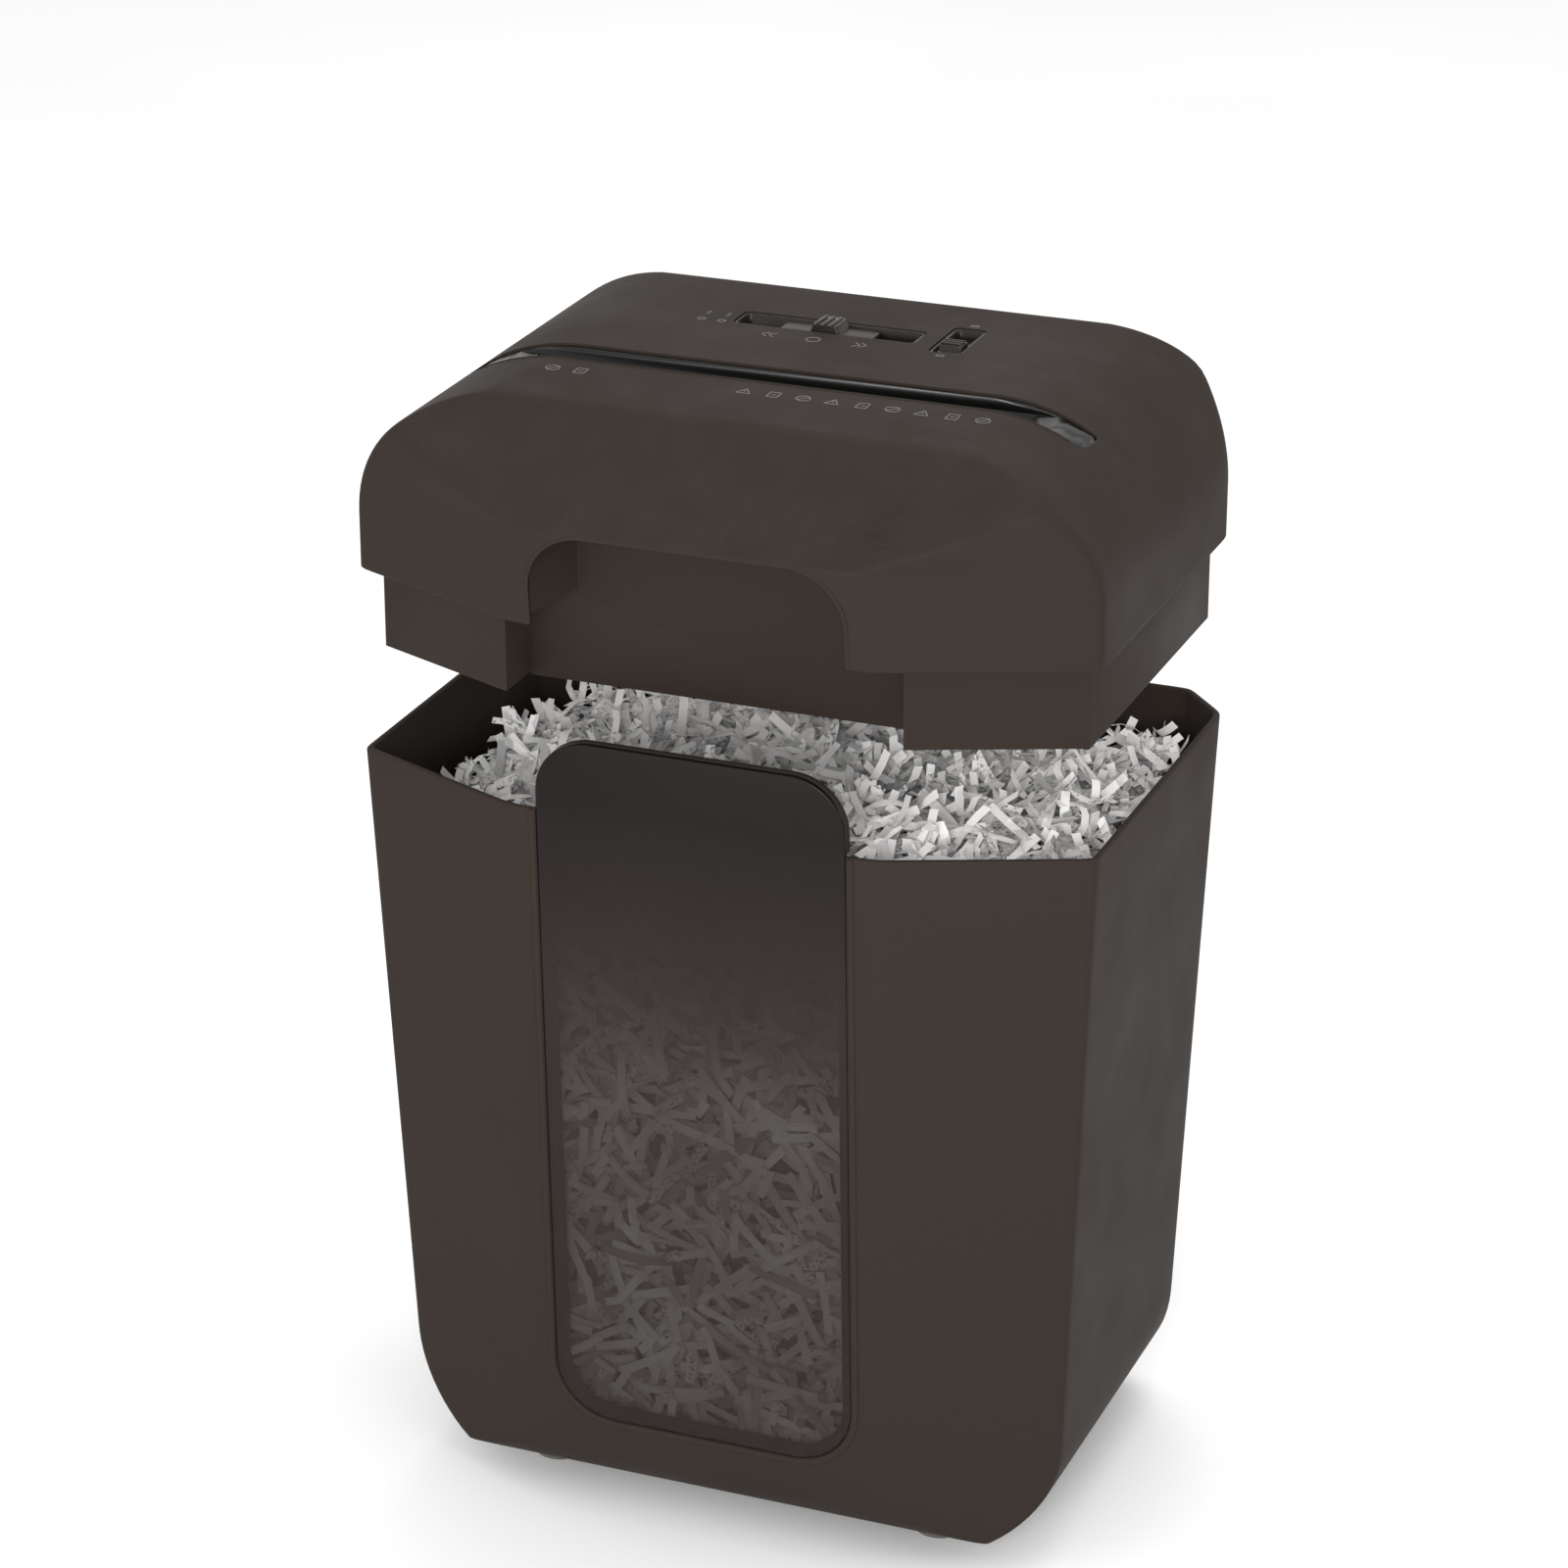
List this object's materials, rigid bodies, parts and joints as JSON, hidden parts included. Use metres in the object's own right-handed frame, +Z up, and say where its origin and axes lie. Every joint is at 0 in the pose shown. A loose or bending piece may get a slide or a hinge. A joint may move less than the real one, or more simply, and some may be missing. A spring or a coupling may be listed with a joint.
{
  "type": "paper shredder",
  "caption": "Lift-off-head paper shredder over a tapered waste bin with a smoked front window, shown with the head lifted for emptying.",
  "frame": {"origin": "bottom centre of the whole object's box, on the floor under the feet", "axes": "+Z up, front with the window faces -Y, +X to the viewer's right seen from the front"},
  "size_m": [0.34, 0.247, 0.529],
  "materials": {
    "case": "fine moulded grain",
    "smoked_panel": "smoked, translucent",
    "paper": "matt",
    "foot_rubber": "matt",
    "gloss_black": "polished",
    "control": "satin",
    "lens": "clear lens, unlit",
    "board": "solder resist",
    "nylon": "natural nylon",
    "cutter_steel": "ground",
    "frame_steel": "zinc plated",
    "motor_steel": "laminated core, varnished"
  },
  "bodies": {
    "bin": {"bin_shell": "case", "window_panel": "smoked_panel", "tongue_backing": "case", "shredded_paper": "paper", "foot_front_left": "foot_rubber", "foot_front_right": "foot_rubber", "foot_rear_left": "foot_rubber", "foot_rear_right": "foot_rubber"},
    "mode_switch": {"mode_switch": "control"},
    "safety_lock": {"safety_lock": "control"},
    "cutter_rear": {"cutter_rear": "cutter_steel", "sync_gear_rear": "cutter_steel", "drive_gear": "nylon"},
    "cutter_front": {"cutter_front": "cutter_steel", "sync_gear_front": "cutter_steel"},
    "idler": {"idler_wheel": "nylon", "idler_pinion": "cutter_steel"},
    "motor_rotor": {"motor_pinion": "cutter_steel", "motor_armature": "motor_steel"},
    "sensor_flag": {"sensor_flag": "nylon"},
    "interlock_plunger": {"interlock_plunger": "nylon"},
    "head": {"top_cover": "case", "lower_housing": "case", "grip_recess": "case", "cord_gland": "foot_rubber", "throat_insert": "gloss_black", "motor_capacitor": "gloss_black", "switch_bezel": "control", "lock_bezel": "control", "mode_switch_body": "control", "sensor_body": "control", "interlock_switch": "control", "led_power": "lens", "led_overheat": "lens", "control_board": "board", "bearing_front_left": "nylon", "bearing_front_right": "nylon", "bearing_rear_left": "nylon", "bearing_rear_right": "nylon", "stripper_front": "nylon", "stripper_rear": "nylon", "idler_axle": "cutter_steel", "side_frame_left": "frame_steel", "side_frame_right": "frame_steel", "tie_rod_1": "frame_steel", "tie_rod_2": "frame_steel", "tie_rod_3": "frame_steel", "screw_1": "frame_steel", "screw_2": "frame_steel", "screw_3": "frame_steel", "screw_4": "frame_steel", "motor": "motor_steel"}
  },
  "joints": [
    {"name": "head_lift", "type": "slide", "parent": "bin", "child": "head", "axis": [0, 0, 1], "range_m": [-0.084, 0.066]},
    {"name": "mode_slide", "type": "slide", "parent": "head", "child": "mode_switch", "axis": [1, 0, 0], "range_m": [-0.017, 0.017]},
    {"name": "lock_slide", "type": "slide", "parent": "head", "child": "safety_lock", "axis": [0, 1, 0], "range_m": [0, 0.012]},
    {"name": "cutter_rear_spin", "type": "hinge", "parent": "head", "child": "cutter_rear", "pos_m": [0, 0.0035, 0.4496], "axis": [1, 0, 0], "continuous": true},
    {"name": "cutter_front_spin", "type": "hinge", "parent": "head", "child": "cutter_front", "pos_m": [0, -0.0325, 0.4496], "axis": [1, 0, 0], "continuous": true},
    {"name": "idler_spin", "type": "hinge", "parent": "head", "child": "idler", "pos_m": [0, 0.05091, 0.45711], "axis": [1, 0, 0], "continuous": true},
    {"name": "motor_spin", "type": "hinge", "parent": "head", "child": "motor_rotor", "pos_m": [0, 0.08054, 0.4618], "axis": [1, 0, 0], "continuous": true},
    {"name": "sensor_tilt", "type": "hinge", "parent": "head", "child": "sensor_flag", "pos_m": [0, -0.0015, 0.4946], "axis": [1, 0, 0], "range_deg": [0, 28], "stiffness_Nm_per_rad": 0.002, "springref_deg": -11.46},
    {"name": "interlock_press", "type": "slide", "parent": "head", "child": "interlock_plunger", "axis": [0, 0, 1], "range_m": [0, 0.004], "stiffness_N_per_m": 300, "springref_m": -0.004}
  ],
  "couplings": [
    {"joint": "cutter_front_spin", "follows": "cutter_rear_spin", "ratio": -1},
    {"joint": "idler_spin", "follows": "cutter_rear_spin", "ratio": -3},
    {"joint": "motor_spin", "follows": "cutter_rear_spin", "ratio": 9}
  ]
}
